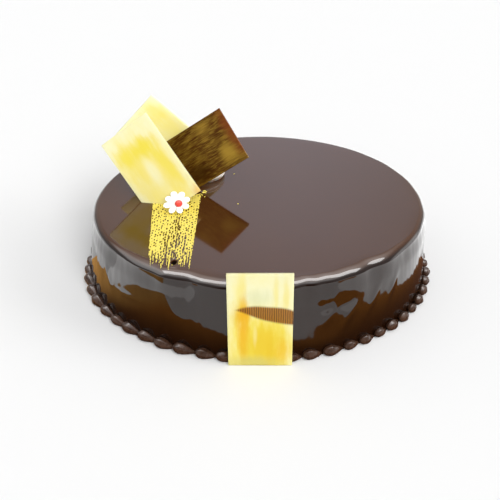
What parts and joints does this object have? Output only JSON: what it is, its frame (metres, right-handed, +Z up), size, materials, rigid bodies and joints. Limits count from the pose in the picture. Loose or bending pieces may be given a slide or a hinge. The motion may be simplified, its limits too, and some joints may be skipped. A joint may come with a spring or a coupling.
{
  "type": "chocolate cake",
  "caption": "Round mirror-glazed dark chocolate cake with a piped teardrop border, thin pale and dark chocolate plaques, a dollop of cream and a sugar daisy.",
  "frame": {"origin": "centre of the cake's flat base, on the surface that it stands on", "axes": "+Z up through the cake, -Y towards the front plaque, +X to the right seen from the front"},
  "size_m": [0.2169, 0.2171, 0.099],
  "materials": {
    "dark_glaze": "mirror glaze",
    "piped_chocolate": "soft sheen",
    "pale_chocolate": "satin, brushed with yellow",
    "gilded_dark_chocolate": "satin, brushed with gold",
    "cream": "soft",
    "white_sugar": "matt",
    "red_sugar": "satin"
  },
  "bodies": {
    "root": {"cake": "dark_glaze", "piped_border": "piped_chocolate", "front_plaque": "pale_chocolate", "left_plaque": "pale_chocolate", "back_plaque": "pale_chocolate", "dark_plaque": "gilded_dark_chocolate", "cream_dollop": "cream", "daisy": "white_sugar", "daisy_button": "red_sugar"}
  },
  "joints": []
}
